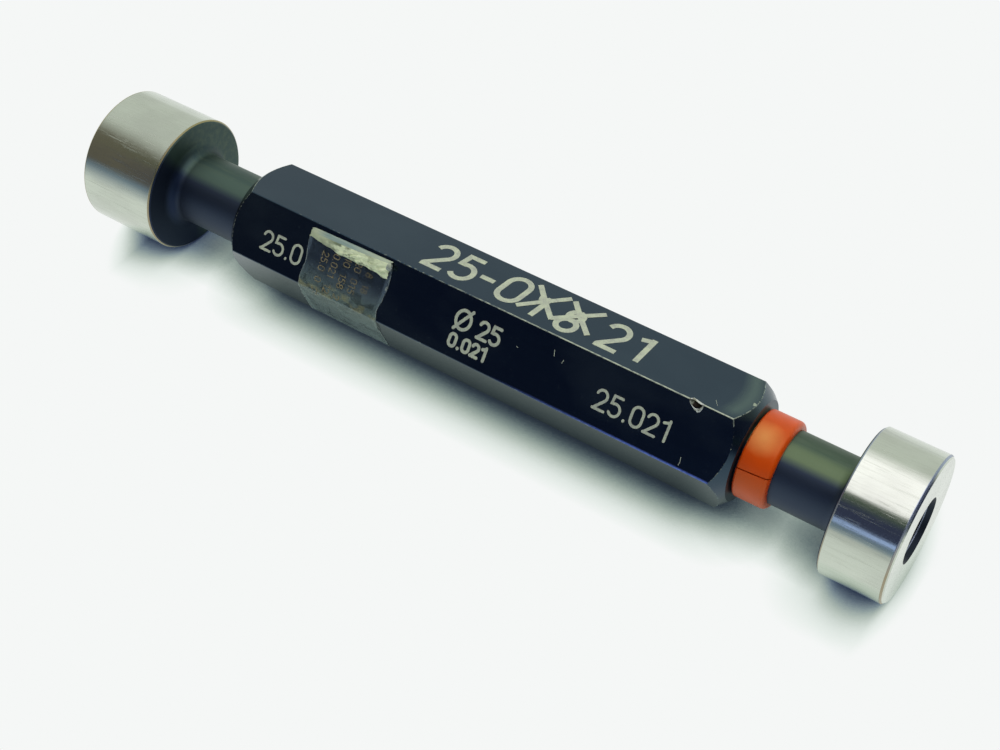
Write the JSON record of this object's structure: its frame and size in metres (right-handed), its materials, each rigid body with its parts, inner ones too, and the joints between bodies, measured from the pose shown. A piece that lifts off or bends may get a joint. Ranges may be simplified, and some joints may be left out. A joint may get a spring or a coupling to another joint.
{
  "type": "limit plug gauge",
  "caption": "Double-ended limit plug gauge: black hexagonal handle with a long GO plug at one end, a short NO-GO plug and a red marker ring at the other, and a clear tape label.",
  "frame": {"origin": "centre of the GO plug's end face, which the gauge stands on", "axes": "+Z along the gauge's axis, from the GO plug to the NO-GO plug; the handle's flat with the small marks and the label's crumpled end faces -Y"},
  "size_m": [0.025, 0.025, 0.1594],
  "materials": {
    "ground_steel": "hardened steel, ground round on the plugs and blackened on the necks",
    "black_handle": "black anodised, satin, with engraved pale marks",
    "red_ring": "moulded soft plastic",
    "clear_tape": "clear printed film, crumpled at one end"
  },
  "bodies": {
    "root": {"go_member": "ground_steel", "no_go_member": "ground_steel", "handle": "black_handle", "marker_ring": "red_ring", "label_tape": "clear_tape"}
  },
  "joints": []
}
